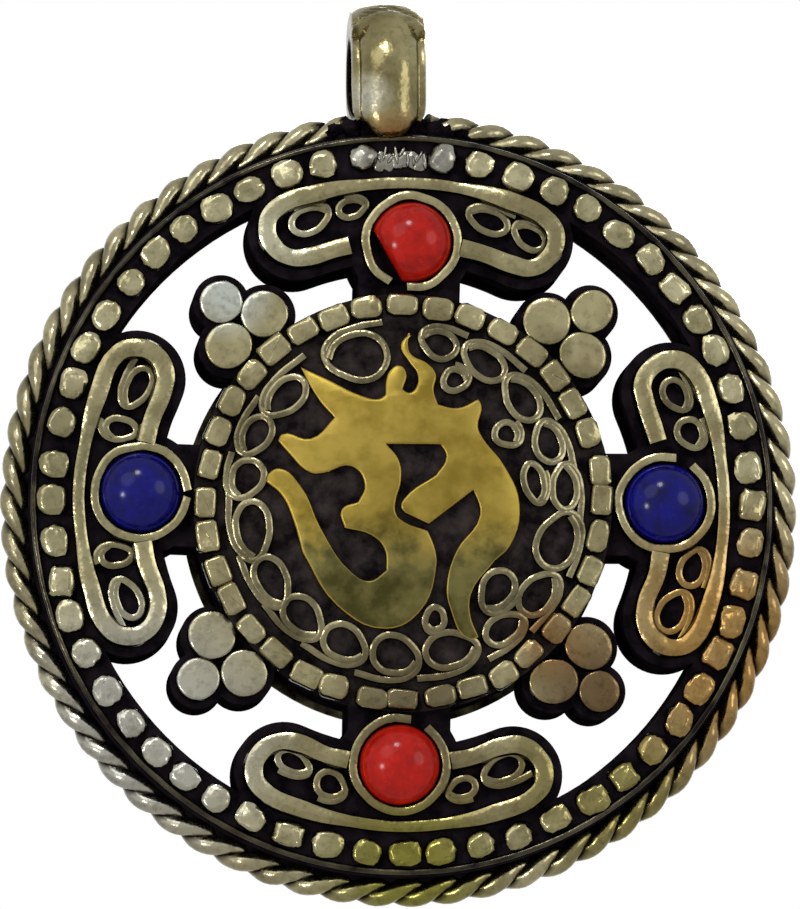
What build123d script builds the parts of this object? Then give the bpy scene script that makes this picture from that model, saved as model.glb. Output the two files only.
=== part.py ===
"""Round openwork ghau pendant: an amulet box with a soldered bail and a push-on back lid.

The pendant hangs upright: +Z is up, the decorated front faces -Y and +X is to the viewer's right.
The origin is the centre of the bail's bore. Lengths are millimetres and angles are degrees,
counted from +X towards +Z as the viewer sees them.
"""

import os
from math import asin, cos, degrees, pi, radians, sin, sqrt

from build123d import *

# Box in the middle: a drum closed by a domed front and a flat lid.
DRUM_RADIUS = 13.1
DRUM_WALL = 0.8
BODY_DEPTH = 6.0
DOME_SHEET = 0.7
DOME_RISE = 1.6
RELIEF = 0.55
LID_SHEET = 0.7
LID_LIP = 0.4
LID_CLEARANCE = 0.05
COLLAR_WALL = 0.6
COLLAR_DEPTH = 2.5

# Flattened granules round the dome.
LEDGE_EDGE = 0.1
INNER_GRANULE_WIDTH = 1.8
INNER_GRANULE_DEPTH = 1.3
INNER_GRANULE_GAP = 0.3
INNER_GRANULE_HEIGHT = 0.7
INNER_GRANULE_CORNER = 0.5
FIELD_EDGE = 0.15

# Stones in their round wire settings.
STONE_RADIUS = 2.5
STONE_GIRDLE = 0.7
STONE_CROWN = 1.6
STONE_CLEARANCE = 0.1
BEZEL_WIDTH = 0.6
BEZEL_HEIGHT = 1.1
BEZEL_JOINT = 0.8
SETTING_GAP = 0.1

# Lobes: dark bean-shaped bases, wire frames and scrolls.
LOBE_WIDTH = 4.75
LOBE_HALF_SPAN = 23.0
LOBE_MARGIN = 0.7
FRAME_WIDTH = 1.0
FRAME_HEIGHT = 0.9
FRAME_ROUND = 0.2
SCROLL_RADIUS = 1.05
SCROLL_WIRE = 0.38
SCROLL_HEIGHT = 0.6
SCROLL_PITCH = 2.35
SCROLL_OPENING = 60

# Clusters of three discs on the diagonals.
PAIR_DISC_RADIUS = 1.45
TIP_DISC_RADIUS = 1.27
DISC_HEIGHT = 0.9
DISC_ROUND = 0.2
DISC_GAP = 0.1
CLUSTER_MARGIN = 0.5

# Rim: band, round-cornered granules, thin wire and rope.
RIM_EDGE = 0.35
OUTER_GRANULE_WIDTH = 1.9
OUTER_GRANULE_DEPTH = 1.6
OUTER_GRANULE_CORNER = 0.7
OUTER_GRANULE_GAP = 0.52
OUTER_GRANULE_HEIGHT = 0.7
GRANULE_ROUND = 0.25
RIM_WIRE_RADIUS = 0.2
RIM_WIRE_GAP = 0.12
ROPE_RADIUS = 0.85
ROPE_LAY = 4.55
ROPE_SETBACK = 2.3
STRAND_GAP = 0.04

# Bail: a loop of half-round strip, soldered to the rim.
BAIL_BORE_RADIUS = 2.45
BAIL_EDGE = 0.65
BAIL_CROWN = 1.25
BAIL_WIDTH = 4.6
BAIL_FOOT_WIDTH = 3.8
BAIL_SEAT = 0.35
BAIL_OFFSET = 0.75
BAIL_SIDE_GAP = 0.2

# Emblem, drawn for a field of this radius, and filigree loops on the dome.
EMBLEM_FIELD = 11.55
LOOP_LENGTH = 2.9
LOOP_WIDTH = 2.7
SMALL_LOOP_LENGTH = 1.9
SMALL_LOOP_WIDTH = 1.5
LOOP_WIRE = 0.42
LOOP_EDGE = 0.1
RUN_START = 130
RUN_SWEEP = 296
LOOP_ANGLES = [
    5, 23, 41, 60, 78, 108, 138, 156, 172, 190, 210, 228, 247, 266, 287, 308, 326, 346
]
SMALL_LOOP_ANGLES = [8, 33, 66, 284, 316]

# Rolled paper charm in the box.
ROLL_RADIUS = 1.8
ROLL_BORE = 0.45
ROLL_LENGTH = 13.0
ROLL_GAP = 0.3
ROLL_SETBACK = 0.5
THREAD_WIDTH = 1.2
THREAD_THICKNESS = 0.35

# Where each lobe and cluster sits, and where each bezel's joint lies.
LOBES = {"top": 88, "left": 178, "bottom": 269, "right": 0}
BEZEL_JOINTS = {"top": 165, "left": 180, "bottom": 156, "right": 65}
STONES = {"top": "coral", "left": "lapis", "bottom": "coral", "right": "lapis"}
CLUSTERS = {"upper_right": 45.5, "upper_left": 132, "lower_left": 221, "lower_right": 316}

# Derived radii, from the drum outwards.
FRONT = BODY_DEPTH / 2
LEDGE = FRONT + DOME_SHEET
INNER_GRANULE_RING = DRUM_RADIUS - LEDGE_EDGE - INNER_GRANULE_DEPTH / 2
FIELD_RADIUS = INNER_GRANULE_RING - INNER_GRANULE_DEPTH / 2 - FIELD_EDGE
DOME_RADIUS = (FIELD_RADIUS**2 + DOME_RISE**2) / (2 * DOME_RISE)
BEZEL_RADIUS = STONE_RADIUS + STONE_CLEARANCE + BEZEL_WIDTH
SETTING_RING = DRUM_RADIUS + SETTING_GAP + BEZEL_RADIUS
FRAME_OUTER = SETTING_RING + BEZEL_RADIUS + SETTING_GAP + FRAME_WIDTH
LOBE_RING = FRAME_OUTER - LOBE_WIDTH / 2
RIM_INNER = FRAME_OUTER + SETTING_GAP / 2
OUTER_GRANULE_RING = RIM_INNER + RIM_EDGE + OUTER_GRANULE_DEPTH / 2
RIM_WIRE_RING = OUTER_GRANULE_RING + OUTER_GRANULE_DEPTH / 2 + RIM_WIRE_GAP + RIM_WIRE_RADIUS
RIM_OUTER = RIM_WIRE_RING + RIM_WIRE_RADIUS + RIM_WIRE_GAP
ROPE_RING = RIM_OUTER + ROPE_RADIUS
BAIL_RADIUS = BAIL_BORE_RADIUS + BAIL_EDGE + BAIL_CROWN
CENTRE_Z = -(RIM_OUTER + BAIL_RADIUS - BAIL_SEAT)
COLLAR_RADIUS = DRUM_RADIUS - DRUM_WALL - LID_CLEARANCE
PAIR_RING = DRUM_RADIUS + DISC_GAP / 2 + PAIR_DISC_RADIUS
PAIR_HALF_CHORD = PAIR_DISC_RADIUS + DISC_GAP / 2
TIP_REACH = sqrt((PAIR_DISC_RADIUS + TIP_DISC_RADIUS + DISC_GAP) ** 2 - PAIR_HALF_CHORD**2)

CENTRE = (BAIL_OFFSET, 0, CENTRE_Z)
BOX_AXIS = Axis(CENTRE, (0, 1, 0))


def face_plane(height, angle=0):
    """Plane parallel to the front, height towards the viewer, its x turned out along angle."""
    outwards = (cos(radians(angle)), 0, sin(radians(angle)))
    return Plane(origin=CENTRE, x_dir=outwards, z_dir=(0, -1, 0)).offset(height)


def profile_plane(angle=0, radius=0):
    """Half-section plane for turned pieces: x is radial, y is the height towards the viewer."""
    outwards = Vector(cos(radians(angle)), 0, sin(radians(angle)))
    origin = Vector(*CENTRE) + outwards * radius
    return Plane(origin=origin, x_dir=outwards, z_dir=outwards.cross(Vector(0, -1, 0)))


def save(piece, name):
    """Label a finished piece and write its STEP file."""
    piece.part.label = name
    export_step(piece.part, f"parts/{name}.step")


def front_edges(piece):
    """Edges in the piece's foremost flat face."""
    return piece.edges().group_by(Axis.Y)[0]


def dome_height(radius):
    """Height of the dome's outer face above the front of the box."""
    return LEDGE + sqrt(DOME_RADIUS**2 - radius**2) - (DOME_RADIUS - DOME_RISE)


def dome_arc(lift, radius):
    """Arc that follows the dome from the given radius in to the axis, lifted by lift."""
    ThreePointArc(
        (radius, dome_height(radius) + lift),
        (radius / 2, dome_height(radius / 2) + lift),
        (0, dome_height(0) + lift),
    )


def emblem_outline():
    """Closed outline of the emblem, drawn about the dome's centre as smooth runs between corners."""
    horn, brow, flame, shoulder = (-6.5, 8.45), (-1.2, 6.6), (0.5, 10.65), (4.65, 6.4)
    hook, neck, foot, crook = (-0.1, 6.95), (2.1, 6.0), (4.65, -8.5), (4.25, 0.6)
    bar, elbow, palm, wrist = (1.45, -1.55), (-0.05, -0.85), (-0.1, 0.05), (1.9, 1.55)
    knuckle, hollow, heel, slit = (2.2, 3.45), (-1.15, 3.45), (-0.35, -1.2), (1.4, -1.95)
    whisker, beard, notch = (-8.65, 1.15), (-7.9, 3.7), (-4.4, 5.15)
    Spline(horn, (-4.85, 7.65), (-2.65, 6.55), (-1.6, 6.35), brow)
    Spline(brow, (-1.15, 7.5), (-0.9, 8.15), (-0.3, 8.5), (0.15, 8.0), hook)
    Spline(hook, (0.3, 6.75), (0.75, 7.15), (0.8, 7.95), (0.3, 8.7), (-0.2, 9.8), flame)
    Spline(flame, (0.3, 9.95), (0.45, 9.25), (1.45, 8.65), (2.0, 7.95), (1.85, 6.9), neck)
    Spline(neck, (3.3, 5.8), shoulder)
    Spline(shoulder, (4.85, 5.9), (4.6, 4.6), (4.9, 3.9), (6.2, 2.25), (7.2, -0.25), (6.6, -2.8),
           (5.6, -3.8), (4.15, -5.8), (4.1, -7.15), foot)
    Spline(foot, (4.05, -8.7), (2.75, -6.65), (2.55, -5.4), (3.15, -3.2), (4.65, -0.9), crook)
    Polyline(crook, bar, elbow)
    Spline(elbow, (-0.3, -0.5), palm)
    Line(palm, wrist)
    Spline(wrist, (2.55, 2.7), knuckle)
    Line(knuckle, hollow)
    Spline(hollow, (-0.4, 2.5), (-0.25, 1.2), (-0.6, -0.15), (-0.6, -0.8), heel)
    Line(heel, slit)
    Spline(slit, (1.85, -3.05), (1.95, -4.1), (0.9, -7.0), (-1.2, -8.05), (-4.25, -6.6),
           (-6.4, -3.3), (-7.0, -1.2), (-7.7, 0.3), whisker)
    Spline(whisker, (-8.5, 1.65), (-7.8, 2.0), (-6.5, 0.9), (-5.2, -1.85), (-3.35, -4.5),
           (-2.25, -5.05), (-1.2, -4.4), (-1.35, -3.05), (-2.15, -2.25), (-3.8, -1.8),
           (-4.0, -0.65), (-2.95, -0.15), (-2.55, 0.9), (-3.35, 2.05), (-5.05, 1.65),
           (-5.85, 1.65), (-7.35, 3.05), beard)
    Spline(beard, (-7.65, 4.15), (-5.85, 3.85), notch)
    Spline(notch, (-5.3, 6.2), horn)


def ovals(angles, ring, length, width, mode=Mode.ADD):
    """Oval on the ring at each angle, its length along the radius."""
    for angle in angles:
        with PolarLocations(ring, 1, start_angle=angle):
            Ellipse(length / 2, width / 2, mode=mode)


def strand_point(turn, turns, phase):
    """Point and direction of a rope strand after a number of turns."""
    start = BAIL_ANGLE + ROPE_GAP_ANGLE
    sweep = radians(360 - 2 * ROPE_GAP_ANGLE)
    around = radians(start) + sweep * turn / turns
    twist = 2 * pi * turn + phase
    throw = (ROPE_RADIUS + STRAND_GAP) / 2
    outwards = Vector(cos(around), 0, sin(around))
    along = Vector(-sin(around), 0, cos(around))
    front = Vector(0, -1, 0)
    centre = Vector(*CENTRE) + front * (FRONT - ROPE_SETBACK)
    point = centre + outwards * (ROPE_RING + throw * cos(twist)) + front * (throw * sin(twist))
    pace = along * ((ROPE_RING + throw * cos(twist)) * sweep / turns)
    swing = (front * cos(twist) - outwards * sin(twist)) * (2 * pi * throw)
    return point, (pace + swing).normalized()


def biarc(start, end):
    """Two tangent arcs from one point and direction to the next."""
    (from_point, from_way), (to_point, to_way) = start, end
    span = to_point - from_point
    bend = 1 - from_way.dot(to_way)
    pull = span.dot(from_way + to_way)
    reach = (sqrt(pull**2 + 2 * bend * span.dot(span)) - pull) / (2 * bend)
    middle = (from_point + to_point + (from_way - to_way) * reach) * 0.5
    TangentArc(from_point, middle, tangent=from_way)
    TangentArc(middle, to_point, tangent=(to_point - to_way * reach) - (from_point + from_way * reach))


os.makedirs("parts", exist_ok=True)

# Box: side wall, domed front, lid and the collar under the lid.
with BuildPart() as drum_wall:
    with BuildSketch(face_plane(-FRONT)):
        Circle(DRUM_RADIUS)
        Circle(DRUM_RADIUS - DRUM_WALL, mode=Mode.SUBTRACT)
    extrude(amount=BODY_DEPTH)
save(drum_wall, "drum_wall")

with BuildPart() as front_dome:
    with BuildSketch(profile_plane()):
        with BuildLine():
            Polyline((FIELD_RADIUS, LEDGE), (DRUM_RADIUS, LEDGE), (DRUM_RADIUS, FRONT), (FIELD_RADIUS, FRONT))
            dome_arc(-DOME_SHEET, FIELD_RADIUS)
            Line((0, dome_height(0) - DOME_SHEET), (0, dome_height(0)))
            dome_arc(0, FIELD_RADIUS)
        make_face()
    revolve(axis=BOX_AXIS)
save(front_dome, "front_dome")

with BuildPart() as back_lid:
    with BuildSketch(face_plane(-FRONT - LID_SHEET)):
        Circle(DRUM_RADIUS + LID_LIP)
    extrude(amount=LID_SHEET)
save(back_lid, "back_lid")

with BuildPart() as lid_collar:
    with BuildSketch(face_plane(-FRONT)):
        Circle(COLLAR_RADIUS)
        Circle(COLLAR_RADIUS - COLLAR_WALL, mode=Mode.SUBTRACT)
    extrude(amount=COLLAR_DEPTH)
save(lid_collar, "lid_collar")

# Charm: rolled paper lying at the bottom of the box, and the thread that ties it.
ROLL_DROP = sqrt((COLLAR_RADIUS - COLLAR_WALL - ROLL_GAP) ** 2 - (ROLL_LENGTH / 2) ** 2) - ROLL_RADIUS
ROLL_CENTRE = (BAIL_OFFSET, ROLL_SETBACK, CENTRE_Z - ROLL_DROP)
ROLL_PLANE = Plane(origin=ROLL_CENTRE, x_dir=(0, 1, 0), z_dir=(1, 0, 0))

with BuildPart() as prayer_roll:
    with BuildSketch(ROLL_PLANE):
        Circle(ROLL_RADIUS)
        Circle(ROLL_BORE, mode=Mode.SUBTRACT)
    extrude(amount=ROLL_LENGTH / 2, both=True)
save(prayer_roll, "prayer_roll")

with BuildPart() as roll_thread:
    with BuildSketch(ROLL_PLANE):
        Circle(ROLL_RADIUS + THREAD_THICKNESS)
        Circle(ROLL_RADIUS, mode=Mode.SUBTRACT)
    extrude(amount=THREAD_WIDTH / 2, both=True)
save(roll_thread, "roll_thread")

# Granules on the ledge round the dome.
INNER_COUNT = int(2 * pi * INNER_GRANULE_RING / (INNER_GRANULE_WIDTH + INNER_GRANULE_GAP))

with BuildPart() as inner_granules:
    with BuildSketch(face_plane(LEDGE)):
        with PolarLocations(INNER_GRANULE_RING, INNER_COUNT):
            RectangleRounded(INNER_GRANULE_DEPTH, INNER_GRANULE_WIDTH, INNER_GRANULE_CORNER)
    extrude(amount=INNER_GRANULE_HEIGHT)
    fillet(front_edges(inner_granules), GRANULE_ROUND)
save(inner_granules, "inner_granules")

# Emblem and filigree: flat outlines given the dome's curve by a skin of even height on it.
with BuildPart() as relief_skin:
    with BuildSketch(profile_plane()):
        with BuildLine():
            dome_arc(0, FIELD_RADIUS)
            Line((0, dome_height(0)), (0, dome_height(0) + RELIEF))
            dome_arc(RELIEF, FIELD_RADIUS)
            Line((FIELD_RADIUS, LEDGE), (FIELD_RADIUS, LEDGE + RELIEF))
        make_face()
    revolve(axis=BOX_AXIS)

with BuildSketch() as emblem_shape:
    with BuildLine():
        emblem_outline()
    make_face()
    scale(by=FIELD_RADIUS / EMBLEM_FIELD)

with BuildPart() as emblem:
    with BuildSketch(face_plane(FRONT)):
        add(emblem_shape.sketch)
    extrude(amount=DOME_SHEET + DOME_RISE + 2 * RELIEF)
    add(relief_skin.part, mode=Mode.INTERSECT)
save(emblem, "emblem")

LOOP_RING = FIELD_RADIUS - LOOP_EDGE - LOOP_LENGTH / 2
SMALL_LOOP_RING = LOOP_RING - LOOP_LENGTH / 2 - SMALL_LOOP_LENGTH / 2 + 2 * LOOP_WIRE
RUN_RING = FIELD_RADIUS - LOOP_EDGE - LOOP_WIRE / 2
RUN_ARC = CenterArc((0, 0), RUN_RING, RUN_START, RUN_SWEEP)
LOOP_HOLE = LOOP_LENGTH - 2 * LOOP_WIRE, LOOP_WIDTH - 2 * LOOP_WIRE
SMALL_LOOP_HOLE = SMALL_LOOP_LENGTH - 2 * LOOP_WIRE, SMALL_LOOP_WIDTH - 2 * LOOP_WIRE

with BuildPart() as centre_scrolls:
    with BuildSketch(face_plane(FRONT)):
        ovals(LOOP_ANGLES, LOOP_RING, LOOP_LENGTH, LOOP_WIDTH)
        ovals(LOOP_ANGLES, LOOP_RING, *LOOP_HOLE, mode=Mode.SUBTRACT)
        ovals(SMALL_LOOP_ANGLES, SMALL_LOOP_RING, SMALL_LOOP_LENGTH, SMALL_LOOP_WIDTH)
        ovals(SMALL_LOOP_ANGLES, SMALL_LOOP_RING, *SMALL_LOOP_HOLE, mode=Mode.SUBTRACT)
        SlotArc(RUN_ARC, LOOP_WIRE)
        add(emblem_shape.sketch, mode=Mode.SUBTRACT)
    extrude(amount=DOME_SHEET + DOME_RISE + 2 * RELIEF)
    add(relief_skin.part, mode=Mode.INTERSECT)
save(centre_scrolls, "centre_scrolls")

# Lobes: base, frame, scrolls, bezel and stone, once for each side.
LOBE_ARC = CenterArc((0, 0), LOBE_RING, -LOBE_HALF_SPAN, 2 * LOBE_HALF_SPAN)
SCROLL_STEP = degrees(SCROLL_PITCH / LOBE_RING)
SCROLL_ANGLES = [
    -LOBE_HALF_SPAN, SCROLL_STEP - LOBE_HALF_SPAN, LOBE_HALF_SPAN - SCROLL_STEP, LOBE_HALF_SPAN
]
SCROLL_ARC = CenterArc(
    (0, 0), SCROLL_RADIUS - SCROLL_WIRE / 2, 180 + SCROLL_OPENING / 2, 360 - SCROLL_OPENING
)

for side, lobe_angle in LOBES.items():
    with BuildPart() as lobe_base:
        with BuildSketch(face_plane(-FRONT, lobe_angle)):
            SlotArc(LOBE_ARC, LOBE_WIDTH + 2 * LOBE_MARGIN)
            with Locations((SETTING_RING, 0)):
                Circle(BEZEL_RADIUS + LOBE_MARGIN)
            with Locations((SETTING_RING / 2, 0)):
                Rectangle(SETTING_RING, 2 * BEZEL_RADIUS)
            Circle(DRUM_RADIUS, mode=Mode.SUBTRACT)
            Circle(RIM_INNER, mode=Mode.INTERSECT)
        extrude(amount=BODY_DEPTH)
    save(lobe_base, f"{side}_lobe_base")

    with BuildPart() as lobe_frame:
        with BuildSketch(face_plane(FRONT, lobe_angle)):
            SlotArc(LOBE_ARC, LOBE_WIDTH)
            SlotArc(LOBE_ARC, LOBE_WIDTH - 2 * FRAME_WIDTH, mode=Mode.SUBTRACT)
            with Locations((SETTING_RING, 0)):
                Circle(BEZEL_RADIUS + SETTING_GAP / 2, mode=Mode.SUBTRACT)
        extrude(amount=FRAME_HEIGHT)
        fillet(front_edges(lobe_frame), FRAME_ROUND)
    save(lobe_frame, f"{side}_lobe_frame")

    with BuildPart() as lobe_scrolls:
        with BuildSketch(face_plane(FRONT, lobe_angle)):
            for scroll_angle in SCROLL_ANGLES:
                with PolarLocations(LOBE_RING, 1, start_angle=scroll_angle):
                    SlotArc(SCROLL_ARC, SCROLL_WIRE)
        extrude(amount=SCROLL_HEIGHT)
    save(lobe_scrolls, f"{side}_lobe_scrolls")

    joint_angle = radians(BEZEL_JOINTS[side])
    with BuildPart() as bezel:
        with BuildSketch(face_plane(FRONT, lobe_angle)):
            with Locations((SETTING_RING, 0)):
                Circle(BEZEL_RADIUS)
                Circle(BEZEL_RADIUS - BEZEL_WIDTH, mode=Mode.SUBTRACT)
            middle_radius = BEZEL_RADIUS - BEZEL_WIDTH / 2
            joint_x = SETTING_RING + middle_radius * cos(joint_angle)
            with Locations((joint_x, middle_radius * sin(joint_angle))):
                Rectangle(2 * BEZEL_WIDTH, BEZEL_JOINT, rotation=BEZEL_JOINTS[side], mode=Mode.SUBTRACT)
        extrude(amount=BEZEL_HEIGHT)
    save(bezel, f"{side}_bezel")

    stone_plane = profile_plane(lobe_angle, SETTING_RING)
    crown_radius = (STONE_RADIUS**2 + STONE_CROWN**2) / (2 * STONE_CROWN)
    with BuildPart() as stone:
        with BuildSketch(stone_plane):
            with BuildLine():
                top = FRONT + STONE_GIRDLE + STONE_CROWN
                flank = top - crown_radius + sqrt(crown_radius**2 - (STONE_RADIUS / 2) ** 2)
                Polyline((0, top), (0, FRONT), (STONE_RADIUS, FRONT), (STONE_RADIUS, FRONT + STONE_GIRDLE))
                ThreePointArc((STONE_RADIUS, FRONT + STONE_GIRDLE), (STONE_RADIUS / 2, flank), (0, top))
            make_face()
        revolve(axis=Axis(stone_plane.origin, (0, 1, 0)))
    save(stone, f"{side}_{STONES[side]}")

# Clusters: base and three discs on each diagonal.
PAIR_X = sqrt(PAIR_RING**2 - PAIR_HALF_CHORD**2)
PAIR_PLACES = [(PAIR_X, PAIR_HALF_CHORD), (PAIR_X, -PAIR_HALF_CHORD)]
TIP_PLACE = (PAIR_X + TIP_REACH, 0)

for corner, cluster_angle in CLUSTERS.items():
    with BuildPart() as cluster_base:
        with BuildSketch(face_plane(-FRONT, cluster_angle)):
            with Locations(PAIR_PLACES):
                Circle(PAIR_DISC_RADIUS + CLUSTER_MARGIN)
            with Locations(TIP_PLACE):
                Circle(TIP_DISC_RADIUS + CLUSTER_MARGIN)
            with Locations((PAIR_X / 2, 0)):
                Rectangle(PAIR_X, 2 * PAIR_HALF_CHORD)
            Circle(DRUM_RADIUS, mode=Mode.SUBTRACT)
        extrude(amount=BODY_DEPTH)
    save(cluster_base, f"{corner}_cluster_base")

    with BuildPart() as discs:
        with BuildSketch(face_plane(FRONT, cluster_angle)):
            with Locations(PAIR_PLACES):
                Circle(PAIR_DISC_RADIUS)
            with Locations(TIP_PLACE):
                Circle(TIP_DISC_RADIUS)
        extrude(amount=DISC_HEIGHT)
        fillet(front_edges(discs), DISC_ROUND)
    save(discs, f"{corner}_discs")

# Rim: band, granules, thin wire on its front edge and rope round its wall.
with BuildPart() as rim_band:
    with BuildSketch(face_plane(-FRONT)):
        Circle(RIM_OUTER)
        Circle(RIM_INNER, mode=Mode.SUBTRACT)
    extrude(amount=BODY_DEPTH)
save(rim_band, "rim_band")

OUTER_COUNT = int(2 * pi * OUTER_GRANULE_RING / (OUTER_GRANULE_WIDTH + OUTER_GRANULE_GAP))

with BuildPart() as outer_granules:
    with BuildSketch(face_plane(FRONT)):
        with PolarLocations(OUTER_GRANULE_RING, OUTER_COUNT):
            RectangleRounded(OUTER_GRANULE_DEPTH, OUTER_GRANULE_WIDTH, OUTER_GRANULE_CORNER)
    extrude(amount=OUTER_GRANULE_HEIGHT)
    fillet(front_edges(outer_granules), GRANULE_ROUND)
save(outer_granules, "outer_granules")

with BuildPart() as rim_wire:
    with BuildSketch(profile_plane()):
        with Locations((RIM_WIRE_RING, FRONT + RIM_WIRE_RADIUS)):
            Circle(RIM_WIRE_RADIUS)
    revolve(axis=BOX_AXIS)
save(rim_wire, "rim_wire")

# The rope's two strands wind round each other and stop either side of the bail's foot.
BAIL_ANGLE = 90 + degrees(asin(BAIL_OFFSET / ROPE_RING))
ROPE_GAP_ANGLE = degrees(asin((BAIL_WIDTH / 2 + BAIL_SIDE_GAP) / ROPE_RING))
ROPE_TURNS = round(radians(360 - 2 * ROPE_GAP_ANGLE) * ROPE_RING / ROPE_LAY)
QUARTERS = 4

with BuildPart() as rim_rope:
    for phase in (0, pi):
        stops = [
            strand_point(quarter / QUARTERS, ROPE_TURNS, phase)
            for quarter in range(ROPE_TURNS * QUARTERS + 1)
        ]
        with BuildLine() as strand_path:
            for start, end in zip(stops, stops[1:]):
                biarc(start, end)
        first_point, first_way = stops[0]
        with BuildSketch(Plane(origin=first_point, z_dir=first_way)):
            Circle((ROPE_RADIUS - STRAND_GAP) / 2)
        sweep(path=strand_path.line)
save(rim_rope, "rim_rope")

# Bail: half-round strip bent into a loop, narrowed to its foot and saddled on the rim.
with BuildPart() as bail:
    with BuildSketch(Plane.XZ):
        with BuildLine():
            half = BAIL_WIDTH / 2
            shoulder_radius = BAIL_BORE_RADIUS + BAIL_EDGE
            Polyline(
                (-half, shoulder_radius),
                (-half, BAIL_BORE_RADIUS),
                (half, BAIL_BORE_RADIUS),
                (half, shoulder_radius),
            )
            ThreePointArc((half, shoulder_radius), (0, BAIL_RADIUS), (-half, shoulder_radius))
        make_face()
    revolve(axis=Axis.X)
    with BuildSketch(Plane.XZ):
        for flank in (-1, 1):
            with BuildLine():
                Polyline(
                    (flank * BAIL_WIDTH / 2, 0),
                    (flank * BAIL_FOOT_WIDTH / 2, -BAIL_RADIUS),
                    (flank * BAIL_WIDTH, -BAIL_RADIUS),
                    (flank * BAIL_WIDTH, 0),
                    close=True,
                )
            make_face()
    extrude(amount=2 * BAIL_RADIUS, both=True, mode=Mode.SUBTRACT)
    with BuildSketch(face_plane(-2 * BAIL_RADIUS)):
        Circle(RIM_OUTER)
    extrude(amount=4 * BAIL_RADIUS, mode=Mode.SUBTRACT)
save(bail, "bail")
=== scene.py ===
"""Finished look of the ghau pendant: hand-worked wire, granules, set stones and a soft studio.

Pieces are made on a bench, in millimetres about the middle of the dome: x to the viewer's right,
y up the pendant's face and z towards the viewer. hang() then turns each one into its place.
"""

from math import atan2, copysign, cos, degrees, hypot, pi, radians, sin, sqrt
from random import Random

import bpy
from mathutils import Euler, Matrix, Vector


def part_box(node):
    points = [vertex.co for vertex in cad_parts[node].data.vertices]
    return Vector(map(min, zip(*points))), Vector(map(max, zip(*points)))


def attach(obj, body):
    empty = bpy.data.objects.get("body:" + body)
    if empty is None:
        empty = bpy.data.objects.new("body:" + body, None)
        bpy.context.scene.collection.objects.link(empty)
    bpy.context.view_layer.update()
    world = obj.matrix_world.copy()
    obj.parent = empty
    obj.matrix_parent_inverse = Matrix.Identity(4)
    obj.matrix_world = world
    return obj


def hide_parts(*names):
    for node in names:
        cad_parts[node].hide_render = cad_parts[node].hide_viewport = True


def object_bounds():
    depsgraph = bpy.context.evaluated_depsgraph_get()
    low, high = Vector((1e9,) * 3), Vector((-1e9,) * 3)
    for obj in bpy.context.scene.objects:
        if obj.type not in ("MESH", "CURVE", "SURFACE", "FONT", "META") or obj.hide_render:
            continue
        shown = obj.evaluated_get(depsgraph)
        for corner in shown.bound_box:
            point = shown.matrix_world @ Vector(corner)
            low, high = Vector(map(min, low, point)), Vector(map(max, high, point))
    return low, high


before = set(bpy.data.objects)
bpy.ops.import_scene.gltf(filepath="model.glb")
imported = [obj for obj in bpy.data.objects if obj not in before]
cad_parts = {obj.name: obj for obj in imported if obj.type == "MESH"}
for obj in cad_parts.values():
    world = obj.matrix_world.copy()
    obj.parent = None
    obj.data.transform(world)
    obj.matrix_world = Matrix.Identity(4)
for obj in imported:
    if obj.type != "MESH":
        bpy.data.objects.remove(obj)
cad_low, cad_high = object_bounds()

MM = 0.001
chance = Random(11)

# Sizes of the solids, in millimetres. Angles are in degrees.
drum_low, drum_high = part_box("drum_wall")
CENTRE = Vector(((drum_low.x + drum_high.x) / 2, 0, (drum_low.z + drum_high.z) / 2))
FRONT = -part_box("rim_band")[0].y / MM
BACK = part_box("rim_band")[1].y / MM
DRUM_RADIUS = (drum_high.x - drum_low.x) / 2 / MM
FIELD_RADIUS = DRUM_RADIUS - 1.55
DOME_FOOT = FRONT + 0.7
DOME_RISE = 1.6
DOME_RADIUS = (FIELD_RADIUS**2 + DOME_RISE**2) / (2 * DOME_RISE)
SETTING_RING = DRUM_RADIUS + 3.3
LOBE_RING = DRUM_RADIUS + 5.225
LOBE_HALF_SPAN = 23.0
RIM_RING = DRUM_RADIUS + 8.8
LEDGE_RING = DRUM_RADIUS - 0.75
ROPE_RING = DRUM_RADIUS + 11.09
ROPE_HEIGHT = 0.7
BORE = 2.45

# How deep wire lies in its solder, how far a curl's wire lies inside its outline, and where the
# rope's surface goes from dark to rubbed, from the middle of the rope.
SUNK = 0.05
CURL_INSET = 0.2
ROPE_LAY, ROPE_CROWN = 0.5, 0.72

LOBES = {"top": 88, "left": 178, "bottom": 269, "right": 0}
BEZEL_JOINTS = {"top": 165, "left": 180, "bottom": 156, "right": 65}
BEZEL_OPENINGS = {"top": 11, "left": 4, "bottom": 11, "right": 11}
STONES = {"top": "coral", "left": "lapis", "bottom": "coral", "right": "lapis"}
CLUSTERS = {"upper_right": 45.5, "upper_left": 132, "lower_left": 221, "lower_right": 316}


# Small helpers for working on the bench.
def select_only(*pieces):
    """Select these pieces and nothing else, and make the first one active."""
    bpy.ops.object.select_all(action="DESELECT")
    for piece in pieces:
        piece.select_set(True)
    bpy.context.view_layer.objects.active = pieces[0]


def pick_faces(piece, wanted):
    """Open the piece for editing with the faces selected whose centre and normal are wanted."""
    select_only(piece)
    bpy.ops.object.mode_set(mode="EDIT")
    bpy.ops.mesh.select_mode(type="FACE")
    bpy.ops.mesh.select_all(action="DESELECT")
    bpy.ops.object.mode_set(mode="OBJECT")
    for face in piece.data.polygons:
        face.select = wanted(face.center, face.normal)
    bpy.ops.object.mode_set(mode="EDIT")


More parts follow.
